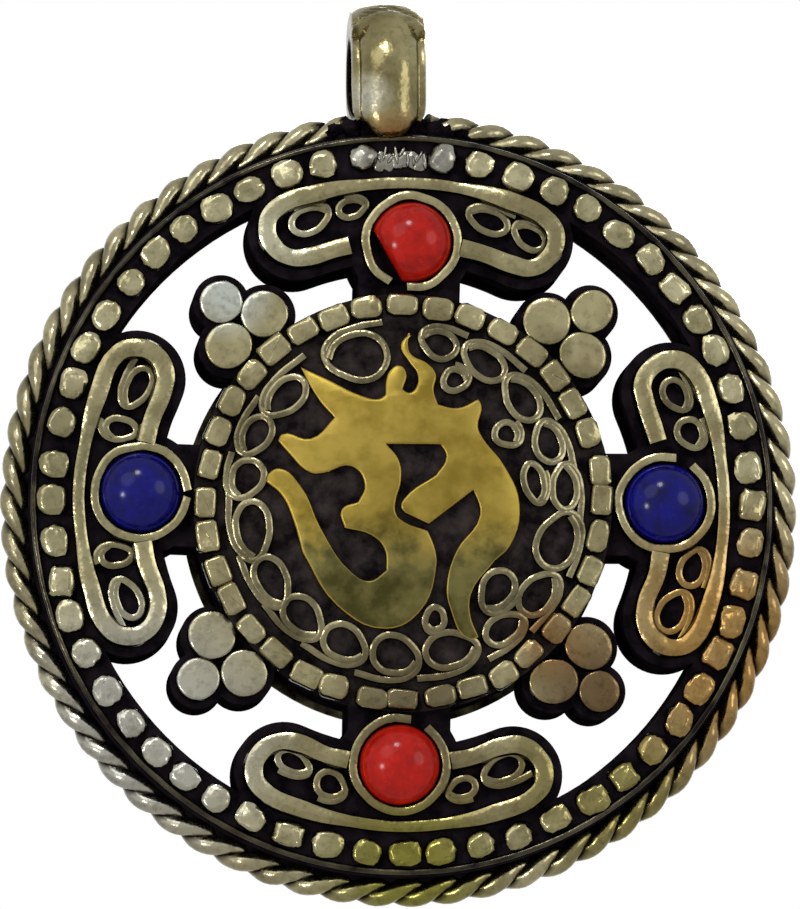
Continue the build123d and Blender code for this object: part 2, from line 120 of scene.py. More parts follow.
def pick_edges(piece, wanted):
    """Open the piece for editing with the edges selected whose two ends are wanted."""
    select_only(piece)
    bpy.ops.object.mode_set(mode="EDIT")
    bpy.ops.mesh.select_mode(type="EDGE")
    bpy.ops.mesh.select_all(action="DESELECT")
    bpy.ops.object.mode_set(mode="OBJECT")
    places = [vertex.co for vertex in piece.data.vertices]
    for edge in piece.data.edges:
        edge.select = wanted(*(places[end] for end in edge.vertices))
    bpy.ops.object.mode_set(mode="EDIT")


def close_edit():
    """Leave edit mode."""
    bpy.ops.object.mode_set(mode="OBJECT")


def apply_place(piece):
    """Put the piece's place into its mesh."""
    select_only(piece)
    bpy.ops.object.transform_apply(location=True, rotation=True, scale=True)


def smooth(piece, angle):
    """Merge doubles, turn faces outwards and shade smooth across edges up to the angle."""
    select_only(piece)
    bpy.ops.object.mode_set(mode="EDIT")
    bpy.ops.mesh.select_all(action="SELECT")
    bpy.ops.mesh.remove_doubles(threshold=0.001 * MM)
    bpy.ops.mesh.normals_make_consistent(inside=False)
    close_edit()
    bpy.ops.object.shade_smooth_by_angle(angle=radians(angle))


def copy_at(piece, name, place, turn, size):
    """Copy a piece with a mesh of its own, and set it down on the bench."""
    twin = piece.copy()
    twin.data = piece.data.copy()
    twin.name = name
    bpy.context.scene.collection.objects.link(twin)
    twin.matrix_world = Matrix.LocRotScale(Vector(place) * MM, Euler(turn), Vector(size))
    apply_place(twin)
    return twin


def join(name, pieces):
    """Join pieces to one."""
    select_only(*pieces)
    bpy.ops.object.join()
    joined = bpy.context.object
    joined.name = name
    return joined


def drop(*pieces):
    """Take working shapes off the bench."""
    for piece in pieces:
        bpy.data.objects.remove(piece)


def hang(piece):
    """Turn a piece from the bench into its place in the hanging pendant."""
    piece.rotation_euler = (pi / 2, 0, 0)
    piece.location = CENTRE
    apply_place(piece)
    return piece


def fit(piece, material, slot, *nodes, body="box"):
    """Give a finished piece its material, its body and the solids that it stands for."""
    piece.data.materials.clear()
    piece.data.materials.append(material)
    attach(piece, body)
    if nodes:
        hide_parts(*nodes)


def around(ring, angle, height=0.0):
    """Bench point on a ring about the middle."""
    return ring * cos(radians(angle)), ring * sin(radians(angle)), height


def dome_height(x, y):
    """Height of the dome at a bench point."""
    reach = min(hypot(x, y), FIELD_RADIUS)
    return DOME_FOOT + sqrt(DOME_RADIUS**2 - reach**2) - (DOME_RADIUS - DOME_RISE)


def wire_section(width, height):
    """Section of a wire that was filed flat on top: straight sides and softened shoulders."""
    half, shoulder = width / 2, min(width, height) * 0.32
    chamfer = 0.3 * shoulder
    outline = [
        (-half, 0),
        (half, 0),
        (half, height - shoulder),
        (half - chamfer, height - chamfer),
        (half - shoulder, height),
        (shoulder - half, height),
        (chamfer - half, height - chamfer),
        (-half, height - shoulder),
    ]
    bpy.ops.curve.primitive_bezier_circle_add(radius=MM)
    section = bpy.context.object
    edge = section.data.splines[0]
    edge.bezier_points.add(len(outline) - len(edge.bezier_points))
    for point, (across, up) in zip(edge.bezier_points, outline):
        point.handle_left_type = point.handle_right_type = "VECTOR"
        point.co = (across * MM, up * MM, 0)
    edge.resolution_u = 1
    return section


def bend_wire(name, stops, section, widths=None, steps=5):
    """Bend a wire through stops on the bench and close its ends."""
    bpy.ops.curve.primitive_bezier_curve_add(radius=MM)
    wire = bpy.context.object
    wire.name = name
    run = wire.data.splines[0]
    run.bezier_points.add(len(stops) - len(run.bezier_points))
    for index, stop in enumerate(stops):
        point = run.bezier_points[index]
        point.co = Vector(stop) * MM
        point.handle_left_type = point.handle_right_type = "AUTO"
        point.radius = widths[index] if widths else 1
    run.resolution_u = steps
    wire.data.twist_mode = "Z_UP"
    wire.data.bevel_mode = "OBJECT"
    wire.data.bevel_object = section
    wire.data.use_fill_caps = True
    select_only(wire)
    bpy.ops.object.convert(target="MESH")
    return bpy.context.object


def curl(ring, angle, across, along, tail, hand):
    """Path of a filigree curl: a tail along the outside, a tight turn, then round the loop."""
    wide, long = across / 2 - CURL_INSET, along / 2 - CURL_INSET
    path = [
        (1.25 * wide, -tail * long),
        (1.3 * wide, -0.2 * long),
        (wide, 0.72 * long),
        (0.38 * wide, 1.06 * long),
        (-0.55 * wide, 0.68 * long),
        (-wide, -0.1 * long),
        (-0.72 * wide, -0.78 * long),
        (0.0, -long),
        (0.74 * wide, -0.66 * long),
        (0.95 * wide, 0.0),
        (0.78 * wide, 0.58 * long),
        (0.36 * wide, 0.98 * long),
    ]
    return [around(ring + out, angle + hand * degrees(side / ring))[:2] for out, side in path]


# Materials. A Mix node takes its two colours at sockets 6 and 7 and gives the blend at output 2.
BLEND = {"output": 2, "data_type": "RGBA"}


def linear(hex_colour):
    """Linear RGBA of an sRGB hex colour."""
    channels = [int(hex_colour[place : place + 2], 16) / 255 for place in (1, 3, 5)]
    return [c / 12.92 if c <= 0.04045 else ((c + 0.055) / 1.055) ** 2.4 for c in channels] + [1]


def new_material(name):
    """Material with no nodes yet."""
    material = bpy.data.materials.new(name)
    material.use_nodes = True
    material.node_tree.nodes.clear()
    return material


def add(owner, kind, sockets, output=0, **fields):
    """Add a node with its settings and links, and give back one of its outputs."""
    made = owner.node_tree.nodes.new(kind)
    for field, value in fields.items():
        setattr(made, field, value)
    for socket, value in sockets.items():
        if isinstance(value, bpy.types.NodeSocket):
            owner.node_tree.links.new(value, made.inputs[socket])
        else:
            made.inputs[socket].default_value = value
    return made.outputs[output] if made.outputs else None


def per_mm(size):
    """Texture scale that gives features of this size in millimetres."""
    return 1 / (size * MM)


def front_point(u, v):
    """Place in the hanging pendant of a bench point on its front."""
    return CENTRE.x + u * MM, -FRONT * MM, CENTRE.z + v * MM


# Tints on parts of the metal: middle, reach and colour. Most are tarnish that handling and old
# polish have left; three on the bail and the top lobe's frame are painted light.
TARNISH_AND_PAINTED_LIGHT_ZONES = [
    ((-16.5, -14.5), 10.5, "#A1A098"),
    ((-11.0, 13.2), 3.4, "#B4B9B2"),
    ((13.5, -18.0), 8.0, "#746B38"),
    ((20.5, -9.0), 10.0, "#8F6C36"),
    ((-20.5, 2.0), 7.0, "#7C7658"),
    ((0.5, -19.0), 8.0, "#665B3C"),
    ((1.0, -12.4), 6.5, "#5F563F"),
    ((0.5, -24.0), 7.0, "#77742F"),
    ((12.0, -11.6), 5.5, "#57432D"),
    ((9.0, -8.4), 3.4, "#75552F"),
    # Painted reflection: a brown tint low on the bail.
    ((-0.6, 23.3), 2.2, "#84572A"),
    # Painted highlight: a pale patch on the bail's left.
    ((-1.7, 25.7), 1.9, "#C4C1B2"),
    # Painted highlight: a pale patch at the left end of the top lobe's frame.
    ((-8.2, 16.4), 3.6, "#B3B096"),
]


def face_up(material):
    """Share of wear on a face: full where it looks to the front, none on its sides."""
    normal = add(material, "ShaderNodeTexCoord", {}, "Normal")
    back = add(material, "ShaderNodeSeparateXYZ", {0: normal}, "Y")
    return add(
        material,
        "ShaderNodeMapRange",
        {"Value": back, "From Min": -0.55, "From Max": -0.12, "To Min": 1.0, "To Max": 0.0},
    )


def rope_outside(material):
    """Share of wear on the rope: full on the crowns of its strands, none in the lay between."""
    point = add(material, "ShaderNodeTexCoord", {}, "Object")
    offset = add(
        material,
        "ShaderNodeVectorMath",
        {0: point, 1: (CENTRE.x, -ROPE_HEIGHT * MM, CENTRE.z)},
        operation="SUBTRACT",
    )
    flat = add(material, "ShaderNodeVectorMath", {0: offset, 1: (1, 0, 1)}, operation="MULTIPLY")
    ring = add(material, "ShaderNodeVectorMath", {0: flat}, "Value", operation="LENGTH")
    out = add(material, "ShaderNodeMath", {0: ring, 1: ROPE_RING * MM}, operation="SUBTRACT")
    depth = add(material, "ShaderNodeSeparateXYZ", {0: offset}, "Y")
    reach = add(material, "ShaderNodeCombineXYZ", {0: out, 1: depth})
    far = add(material, "ShaderNodeVectorMath", {0: reach}, "Value", operation="LENGTH")
    return add(
        material,
        "ShaderNodeMapRange",
        {"Value": far, "From Min": ROPE_LAY * MM, "From Max": ROPE_CROWN * MM},
    )


def bail_rub_and_bore_shade(material):
    """Share of rubbed colour on the bail: full on its outside, none in its bore, which stays black
    as painted shade.
    """
    point = add(material, "ShaderNodeTexCoord", {}, "Object")
    flat = add(material, "ShaderNodeVectorMath", {0: point, 1: (0, 1, 1)}, operation="MULTIPLY")
    reach = add(material, "ShaderNodeVectorMath", {0: flat}, "Value", operation="LENGTH")
    return add(
        material,
        "ShaderNodeMapRange",
        {"Value": reach, "From Min": (BORE + 0.05) * MM, "From Max": (BORE + 0.5) * MM},
    )


def back_face(material):
    """Share of wear on flat sheet: full on its back, none at its edge."""
    normal = add(material, "ShaderNodeTexCoord", {}, "Normal")
    back = add(material, "ShaderNodeSeparateXYZ", {0: normal}, "Y")
    return add(material, "ShaderNodeMapRange", {"Value": back, "From Min": 0.42, "From Max": 0.78})


def rubbed_metal(name, wear_and_shade_share, light="#9E9672", deep="#7A7252", zones=TARNISH_AND_PAINTED_LIGHT_ZONES):
    """White metal, blackened and rubbed: satin olive-tan where hands reach, black in the lows.

    Patches are about 3 mm, dents 0.9 mm and pits 0.5 mm across. Polishing scratches are drawn
    0.15 mm across, coarser than real ones, so that they show.
    """
    material = new_material(name)
    point = add(material, "ShaderNodeTexCoord", {}, "Object")
    patches = add(
        material,
        "ShaderNodeTexNoise",
        {"Vector": point, "Scale": per_mm(3), "Detail": 3.0, "Roughness": 0.55},
    )
    patch = add(
        material, "ShaderNodeMapRange", {"Value": patches, "From Min": 0.36, "From Max": 0.64}
    )
    colour = add(material, "ShaderNodeMix", {0: patch, 6: linear(deep), 7: linear(light)}, **BLEND)
    for (u, v), reach, tint in zones:
        gap = add(
            material,
            "ShaderNodeVectorMath",
            {0: point, 1: front_point(u, v)},
            "Value",
            operation="DISTANCE",
        )
        share = add(
            material,
            "ShaderNodeMapRange",
            {
                "Value": gap,
                "From Min": reach * 0.35 * MM,
                "From Max": reach * MM,
                "To Min": 0.85,
                "To Max": 0.0,
            },
        )
        colour = add(material, "ShaderNodeMix", {0: share, 6: colour, 7: linear(tint)}, **BLEND)
    pits = add(
        material,
        "ShaderNodeTexNoise",
        {"Vector": point, "Scale": per_mm(0.5), "Detail": 4.0, "Roughness": 0.65},
    )
    dulled = add(
        material,
        "ShaderNodeMapRange",
        {"Value": pits, "From Min": 0.3, "From Max": 0.52, "To Min": 0.62, "To Max": 1.0},
    )
    # The share is wear, and on the bail also painted shade: black in the lows is oxide, black in
    # the bail's bore is painted shade.
    wear = add(material, "ShaderNodeMath", {0: wear_and_shade_share(material), 1: dulled}, operation="MULTIPLY")
    skin = add(material, "ShaderNodeMix", {0: wear, 6: linear("#17110F"), 7: colour}, **BLEND)
    satin = add(
        material,
        "ShaderNodeMapRange",
        {"Value": pits, "From Min": 0.3, "From Max": 0.7, "To Min": 0.32, "To Max": 0.12},
    )
    dents = add(
        material, "ShaderNodeTexNoise", {"Vector": point, "Scale": per_mm(0.9), "Detail": 2.0}
    )
    beaten = add(
        material, "ShaderNodeBump", {"Height": dents, "Strength": 0.6, "Distance": 0.12 * MM}
    )
    scratches = add(
        material, "ShaderNodeTexNoise", {"Vector": point, "Scale": per_mm(0.15), "Detail": 2.0}
    )
    relief = add(
        material,
        "ShaderNodeBump",
        {"Height": scratches, "Strength": 0.25, "Distance": 0.02 * MM, "Normal": beaten},
    )
    shader = add(
        material,
        "ShaderNodeBsdfPrincipled",
        {"Base Color": skin, "Metallic": 1.0, "Roughness": satin, "Normal": relief},
    )
    add(material, "ShaderNodeOutputMaterial", {"Surface": shader})
    return material


def blackened_metal(name, dark, pale, worn_dark="#4E4731", worn_pale="#7A7350", marks_turn=24):
    """Copper alloy with a sulphide skin: brown-black and matt, paler where the back is rubbed.

    Blotches are about 1.4 mm across; their paler tone is partly a painted sheen, as the skin has
    no specular reflection. The skin's grit is drawn 0.3 mm across, coarser than it is, so that it
    shows. File marks on the back are about 0.3 mm wide and 6 mm long.
    """
    material = new_material(name)
    point = add(material, "ShaderNodeTexCoord", {}, "Object")
    blotches = add(
        material,
        "ShaderNodeTexNoise",
        {"Vector": point, "Scale": per_mm(1.4), "Detail": 5.0, "Roughness": 0.6},
    )
    blotch_and_sheen = add(
        material, "ShaderNodeMapRange", {"Value": blotches, "From Min": 0.38, "From Max": 0.7}
    )
    # The pale blotches are partly a painted sheen.
    skin = add(material, "ShaderNodeMix", {0: blotch_and_sheen, 6: linear(dark), 7: linear(pale)}, **BLEND)
    long_marks = add(
        material,
        "ShaderNodeMapping",
        {"Vector": point, "Rotation": (0, radians(marks_turn), 0), "Scale": (0.05, 1, 1)},
    )
    marks = add(
        material, "ShaderNodeTexNoise", {"Vector": long_marks, "Scale": per_mm(0.3), "Detail": 3.0}
    )
    both = add(material, "ShaderNodeMath", {0: marks, 1: blotches}, operation="ADD")
    filed = add(
        material, "ShaderNodeMapRange", {"Value": both, "From Min": 0.72, "From Max": 1.24}
    )
    bare = add(
        material, "ShaderNodeMix", {0: filed, 6: linear(worn_dark), 7: linear(worn_pale)}, **BLEND
    )
    depth = add(material, "ShaderNodeSeparateXYZ", {0: point}, "Y")
    back_edge = add(
        material,
        "ShaderNodeMapRange",
        {"Value": depth, "From Min": (BACK - 0.45) * MM, "From Max": (BACK - 0.05) * MM},
    )
    frayed = add(material, "ShaderNodeMath", {0: back_edge, 1: blotch_and_sheen}, operation="MULTIPLY")
    flat_back = add(
        material, "ShaderNodeMath", {0: back_face(material), 1: back_edge}, operation="MULTIPLY"
    )
    bared = add(material, "ShaderNodeMath", {0: flat_back, 1: frayed}, operation="MAXIMUM")
    rubbed_back = add(material, "ShaderNodeMath", {0: bared, 1: 0.8}, operation="MULTIPLY")
    colour = add(material, "ShaderNodeMix", {0: rubbed_back, 6: skin, 7: bare}, **BLEND)
    grit = add(
        material, "ShaderNodeTexNoise", {"Vector": point, "Scale": per_mm(0.3), "Detail": 3.0}
    )
    relief = add(
        material, "ShaderNodeBump", {"Height": grit, "Strength": 0.5, "Distance": 0.05 * MM}
    )
    shader = add(
        material,
        "ShaderNodeBsdfPrincipled",
        {
            "Base Color": colour,
            "Metallic": rubbed_back,
            "Roughness": 0.6,
            "Specular IOR Level": 0.0,
            "Normal": relief,
        },
    )
    add(material, "ShaderNodeOutputMaterial", {"Surface": shader})
    return material


def emblem_brass(name):
    """Sheet brass, sawn and rubbed: golden above, darker olive low down as painted shade, a
    bevelled edge brightened partly by rubbing and partly as a painted highlight.

    Patches are about 2.2 mm across.
    """
    material = new_material(name)
    point = add(material, "ShaderNodeTexCoord", {}, "Object")
    patches = add(
        material,
        "ShaderNodeTexNoise",
        {"Vector": point, "Scale": per_mm(2.2), "Detail": 4.0, "Roughness": 0.6},
    )
    patch = add(
        material, "ShaderNodeMapRange", {"Value": patches, "From Min": 0.37, "From Max": 0.61}
    )
    gold = add(
        material, "ShaderNodeMix", {0: patch, 6: linear("#776527"), 7: linear("#8C7937")}, **BLEND
    )
    # Painted shade: the emblem's lower half, where the dome turns down, is tinted a darker olive.
    shaded_olive = add(
        material, "ShaderNodeMix", {0: patch, 6: linear("#3A3A1F"), 7: linear("#645F39")}, **BLEND
    )
    height = add(material, "ShaderNodeSeparateXYZ", {0: point}, "Z")
    stirred = add(
        material, "ShaderNodeMath", {0: patches, 1: 7 * MM, 2: height}, operation="MULTIPLY_ADD"
    )
    # Mask for the painted shade: full below the emblem's middle, fading out a little above it.
    low = add(
        material,
        "ShaderNodeMapRange",
        {
            "Value": stirred,
            "From Min": CENTRE.z - 0.2 * MM,
            "From Max": CENTRE.z + 2.4 * MM,
            "To Min": 0.92,
            "To Max": 0.0,
        },
    )
    face = add(material, "ShaderNodeMix", {0: low, 6: gold, 7: shaded_olive}, **BLEND)
    normal = add(material, "ShaderNodeTexCoord", {}, "Normal")
    back = add(material, "ShaderNodeSeparateXYZ", {0: normal}, "Y")
    # Painted highlight, partly rubbing: bevels turned part way from the front are tinted pale
    # gold, as if catching light from above.
    edge = add(
        material,
        "ShaderNodeMapRange",
        {"Value": back, "From Min": -0.93, "From Max": -0.8, "To Min": 0.0, "To Max": 0.75},
    )
    polished = add(material, "ShaderNodeMix", {0: edge, 6: face, 7: linear("#B39645")}, **BLEND)
    colour = add(
        material,
        "ShaderNodeMix",
        {0: face_up(material), 6: linear("#3A2A10"), 7: polished},
        **BLEND,
    )
    satin = add(
        material,
        "ShaderNodeMapRange",
        {"Value": patches, "From Min": 0.35, "From Max": 0.65, "To Min": 0.3, "To Max": 0.42},
    )
    shader = add(
        material,
        "ShaderNodeBsdfPrincipled",
        {"Base Color": colour, "Metallic": 1.0, "Roughness": satin},
    )
    add(material, "ShaderNodeOutputMaterial", {"Surface": shader})
    return material


def polished_stone(name, body, dark, pale, grain):
    """Opaque stone, ground and polished: a glossy skin over soft mottling of the given grain."""
    material = new_material(name)
    point = add(material, "ShaderNodeTexCoord", {}, "Object")
    clouds = add(
        material,
        "ShaderNodeTexNoise",
        {"Vector": point, "Scale": per_mm(grain), "Detail": 5.0, "Roughness": 0.6},
    )
    cloud = add(
        material, "ShaderNodeMapRange", {"Value": clouds, "From Min": 0.32, "From Max": 0.6}
    )
    mottled = add(material, "ShaderNodeMix", {0: cloud, 6: linear(dark), 7: linear(body)}, **BLEND)
    flecks = add(
        material,
        "ShaderNodeTexNoise",
        {"Vector": point, "Scale": per_mm(grain / 4), "Detail": 3.0},
    )
    fleck = add(
        material,
        "ShaderNodeMapRange",
        {"Value": flecks, "From Min": 0.58, "From Max": 0.72, "To Min": 0.0, "To Max": 0.25},
    )
    colour = add(material, "ShaderNodeMix", {0: fleck, 6: mottled, 7: linear(pale)}, **BLEND)
    shader = add(
        material,
        "ShaderNodeBsdfPrincipled",
        {"Base Color": colour, "Roughness": 0.16, "IOR": 1.5, "Specular IOR Level": 0.15},
    )
    add(material, "ShaderNodeOutputMaterial", {"Surface": shader})
    return material


def fibre(name, first, second, size):
    """Matt fibre stock with soft flecks of the given size."""
    material = new_material(name)
    point = add(material, "ShaderNodeTexCoord", {}, "Object")
    flecks = add(
        material, "ShaderNodeTexNoise", {"Vector": point, "Scale": per_mm(size), "Detail": 4.0}
    )
    fleck = add(
        material, "ShaderNodeMapRange", {"Value": flecks, "From Min": 0.4, "From Max": 0.62}
    )
    colour = add(
        material, "ShaderNodeMix", {0: fleck, 6: linear(first), 7: linear(second)}, **BLEND
    )
    shader = add(material, "ShaderNodeBsdfPrincipled", {"Base Color": colour, "Roughness": 0.85})
    add(material, "ShaderNodeOutputMaterial", {"Surface": shader})
    return material


rubbed = rubbed_metal("rubbed_white_metal", face_up)
fine_wire = rubbed_metal("rubbed_fine_wire", face_up, "#827B5E", "#59533D")
rim_metal = rubbed_metal("rubbed_rim_granules", face_up, "#AFA886", "#868060")
rope_metal = rubbed_metal("rubbed_rope_wire", rope_outside, "#A69E7D", "#7E775D")
# The bail's bore is left black as painted shade.
bail_metal = rubbed_metal("rubbed_bail_strip", bail_rub_and_bore_shade, "#8E8661", "#6E6645")
groove_metal = rubbed_metal("rim_wire_in_groove", face_up, "#55503F", "#1E1A17", ())
solder_metal = rubbed_metal("silver_solder", face_up, "#A5A396", "#5C5A55", ())
black = blackened_metal("oxidised_copper_alloy", "#0D0A0E", "#221C20")
# On the dome the paler blotches are a painted sheen.
dome_black_with_painted_sheen = blackened_metal("copper_alloy_with_painted_sheen", "#120E10", "#37312F")
lid_black = blackened_metal("filed_lid_sheet", "#0D0A0E", "#221C20", "#6B6446", "#9A926E", -52)
brass = emblem_brass("sawn_sheet_brass")
coral = polished_stone("red_coral", "#AA180D", "#890F08", "#BE3020", 1.1)
lapis = polished_stone("lapis_lazuli", "#0B0B68", "#06063C", "#1B1F88", 1.3)
paper = fibre("bark_paper", "#CDB98F", "#B79F70", 0.6)
thread = fibre("cotton_thread", "#8C1C1C", "#6E1212", 0.2)

# Solids that are shown as they are.
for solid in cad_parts.values():
    solid.data.materials.clear()
    solid.data.materials.append(black)
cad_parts["rim_wire"].data.materials[0] = groove_metal
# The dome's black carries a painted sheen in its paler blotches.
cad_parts["front_dome"].data.materials[0] = dome_black_with_painted_sheen


# Granules and discs: short lengths of wire, melted to beads and filed flat.
BEAD_HEIGHT = 1.0
TOP_INSET, TOP_RISE = 0.09, 0.006
RIM_COUNT, LEDGE_COUNT = 56, 36
BEADS_UNDER_SOLDER = (13, 14, 15)
DISC_SUNK = 0.15


def filed_bead(across, along, corner, round_edge, steps=3, uneven=0.0):
    """Flat-topped bead with rounded corners and a rounded rim, standing on the bench."""
    bpy.ops.mesh.primitive_cube_add(size=1, location=(0, 0, BEAD_HEIGHT / 2 * MM))
    bead = bpy.context.object
    bead.scale = (across * MM, along * MM, BEAD_HEIGHT * MM)
    apply_place(bead)
    pick_edges(bead, lambda start, end: abs(start.z - end.z) > BEAD_HEIGHT / 2 * MM)
    bpy.ops.mesh.bevel(offset=corner * MM, segments=steps, affect="EDGES")
    close_edit()
    pick_faces(bead, lambda centre, normal: normal.z > 0.9)
    bpy.ops.mesh.bevel(offset=round_edge * MM, segments=2, affect="EDGES")
    close_edit()
    pick_faces(bead, lambda centre, normal: normal.z > 0.99)
    bpy.ops.mesh.inset(thickness=across * TOP_INSET * MM, depth=across * TOP_RISE * MM)
    bpy.ops.mesh.select_all(action="SELECT")
    bpy.ops.transform.vertex_random(
        offset=uneven * MM, uniform=0.0, normal=0.3, seed=round(corner * 100)
    )
    close_edit()
    smooth(bead, 60)
    return bead


def tilt():
    """Small tilt left by the file."""
    return chance.uniform(-0.06, 0.06)


round_beads = [filed_bead(1.82, 2.06, corner, 0.28, uneven=0.09) for corner in (0.82, 0.77, 0.72)]
square_beads = [filed_bead(1.76, 2.06, corner, 0.28, uneven=0.13) for corner in (0.72, 0.64, 0.56)]
beads = []
for index in range(RIM_COUNT):
    if index in BEADS_UNDER_SOLDER:
        continue
    angle = index * 360 / RIM_COUNT + chance.uniform(-0.5, 0.5)
    squared = angle > 270 or angle < 50 or chance.random() < 0.2
    bead = chance.choice(square_beads if squared else round_beads)
    ring = RIM_RING + chance.uniform(-0.1, 0.06)
    place = around(ring, angle, FRONT - chance.uniform(0.23, 0.34))
    lean = (tilt(), tilt())
    spin = radians(angle + chance.uniform(-14, 14) + chance.choice((0, 180)))
    size = (chance.uniform(0.9, 1.06), chance.uniform(0.88, 1.08), 1)
    beads.append(copy_at(bead, "rim_bead", place, (*lean, spin), size))
fit(hang(join("rim_granules", beads)), rim_metal, "worn_white_metal", "outer_granules")
drop(*round_beads, *square_beads)

ledge_beads = [filed_bead(1.46, 2.06, corner, 0.24, uneven=0.06) for corner in (0.5, 0.46, 0.42)]
beads = []
for index in range(LEDGE_COUNT):
    angle = index * 360 / LEDGE_COUNT + chance.uniform(-0.7, 0.7)
    bead = chance.choice(ledge_beads)
    ring = LEDGE_RING + chance.uniform(-0.06, 0.1)
    place = around(ring, angle, DOME_FOOT - chance.uniform(0.19, 0.31))
    lean = (tilt(), tilt())
    spin = radians(angle + chance.uniform(-5, 5) + chance.choice((0, 180)))
    size = (chance.uniform(0.92, 1.08), chance.uniform(0.92, 1.04), 1)
    beads.append(copy_at(bead, "ledge_bead", place, (*lean, spin), size))
fit(hang(join("ledge_granules", beads)), rubbed, "worn_white_metal", "inner_granules")
drop(*ledge_beads)

PAIR_RING, TIP_RING, PAIR_HALF_ANGLE = DRUM_RADIUS + 1.5, DRUM_RADIUS + 3.85, 5.95
pair_disc = filed_bead(3.02, 3.02, 1.46, 0.15, 7)
tip_disc = filed_bead(2.7, 2.7, 1.3, 0.15, 7)
for corner, middle in CLUSTERS.items():
    seats = [
        (pair_disc, PAIR_RING, middle - PAIR_HALF_ANGLE),
        (pair_disc, PAIR_RING, middle + PAIR_HALF_ANGLE),
        (tip_disc, TIP_RING, middle),
    ]
    discs = [
        copy_at(
            disc,
            "disc",
            around(ring, angle, FRONT - DISC_SUNK + chance.uniform(-0.05, 0.08)),
            (1.5 * tilt(), 1.5 * tilt(), chance.uniform(0, 3)),
            (chance.uniform(0.94, 1.03), chance.uniform(0.95, 1.05), 1),
        )
        for disc, ring, angle in seats
    ]
    fit(hang(join(f"{corner}_filed_discs", discs)), rubbed, "worn_white_metal", f"{corner}_discs")
drop(pair_disc, tip_disc)

# Lobe frames: heavy wire bent to an open bean, its ends stopping at the bezel.
FRAME_OFFSET = 1.87
FRAME_STARTS = {
    "top": (13.6, 10.9),
    "left": (10.9, 10.9),
    "bottom": (11.2, 11.2),
    "right": (13.6, 10.9),
}
SLIM_WIRE, HEAVY_WIRE = 0.78, 1.2
frame_section = wire_section(1.05, 0.95)


def frame_half(start):
    """Stops of half a frame, bezel to top, as angle from the lobe's middle and ring."""
    outer, inner = LOBE_RING + FRAME_OFFSET, LOBE_RING - FRAME_OFFSET
    half = [(start, inner), (0.6 * start + 0.4 * LOBE_HALF_SPAN, inner)]
    for swing in (180, 140, 100, 60, 25):
        aside = degrees(FRAME_OFFSET * sin(radians(swing)) / LOBE_RING)
        ring = LOBE_RING + FRAME_OFFSET * cos(radians(swing))
        half.append((LOBE_HALF_SPAN + aside, ring))
    return half + [(17.0, outer), (8.5, outer)]


for side, middle in LOBES.items():
    left_start, right_start = FRAME_STARTS[side]
    path = frame_half(left_start) + [(0.0, LOBE_RING + FRAME_OFFSET)]
    path += [(-angle, ring) for angle, ring in reversed(frame_half(right_start))]
    stops, widths = [], []
    for offset, ring in path:
        ring += chance.uniform(-0.06, 0.06)
        stops.append(around(ring, middle + offset, FRONT - SUNK))
        on_top = ring > LOBE_RING + 1.2 and abs(offset) < 15
        widths.append((SLIM_WIRE if on_top else HEAVY_WIRE) * chance.uniform(0.95, 1.08))
    bean = bend_wire(f"{side}_bean_wire", stops, frame_section, widths)
    smooth(bean, 35)
    fit(hang(bean), rubbed, "worn_white_metal", f"{side}_lobe_frame")
drop(frame_section)

# Bezels: strip bent round each stone, most of them with the joint left open.
BEZEL_MIDDLE, BEZEL_STEPS = 2.88, 14
bezel_section = wire_section(0.62, 1.15)
for side, middle in LOBES.items():
    seat = Vector(around(SETTING_RING, middle, FRONT - SUNK))
    opening = BEZEL_OPENINGS[side]
    joint = middle + BEZEL_JOINTS[side]
    stops = []
    for step in range(BEZEL_STEPS + 1):
        angle = joint + opening + step * (360 - 2 * opening) / BEZEL_STEPS
        stops.append(seat + Vector(around(BEZEL_MIDDLE + chance.uniform(-0.04, 0.06), angle)))
    bezel = bend_wire(f"{side}_bezel_strip", stops, bezel_section)
    smooth(bezel, 35)
    fit(hang(bezel), rubbed, "worn_white_metal", f"{side}_bezel")
drop(bezel_section)

# Stones: domed cabochons, ground flat below.
STONE_RADIUS, STONE_LIFT = 2.52, 0.7
STONE_FLATTENING = 0.72
STONE_CUT, STONE_SKIRT = 0.2, 0.5
BREAK_WAY, BREAK_REACH = Vector((-0.86, -0.5, 0)), 0.66
bpy.ops.mesh.primitive_uv_sphere_add(segments=48, ring_count=28, radius=STONE_RADIUS * MM)
cabochon = bpy.context.object
bpy.ops.object.mode_set(mode="EDIT")
bpy.ops.mesh.select_all(action="SELECT")
bpy.ops.transform.resize(value=(1, 1, STONE_FLATTENING))
bpy.ops.mesh.bisect(
    plane_co=(0, 0, -STONE_CUT * MM), plane_no=(0, 0, 1), use_fill=True, clear_inner=True
)
close_edit()
pick_faces(cabochon, lambda centre, normal: normal.z < -0.99)
bpy.ops.mesh.extrude_region_move(TRANSFORM_OT_translate={"value": (0, 0, -STONE_SKIRT * MM)})
close_edit()
smooth(cabochon, 50)
for side, middle in LOBES.items():
    stone = copy_at(
        cabochon,
        f"{side}_cabochon",
        around(SETTING_RING, middle, FRONT + STONE_LIFT),
        (chance.uniform(-0.04, 0.04), chance.uniform(-0.04, 0.04), chance.uniform(0, 6)),
        (chance.uniform(0.985, 1.0), chance.uniform(0.985, 1.0), 1),
    )
    kind = STONES[side]
    if side == "top":
        # The upper coral is broken off on its lower left and leaves its bezel open there.
        setting = Vector(around(SETTING_RING, middle, FRONT)) * MM
        break_place = setting + BREAK_WAY * STONE_RADIUS * BREAK_REACH * MM
        select_only(stone)
        bpy.ops.object.mode_set(mode="EDIT")
        bpy.ops.mesh.select_all(action="SELECT")
        bpy.ops.mesh.bisect(
            plane_co=break_place, plane_no=BREAK_WAY, use_fill=True, clear_outer=True
        )
        close_edit()
    finish, slot = (coral, "red_coral") if kind == "coral" else (lapis, "lapis_blue")
    fit(hang(stone), finish, slot, f"{side}_{kind}")
drop(cabochon)

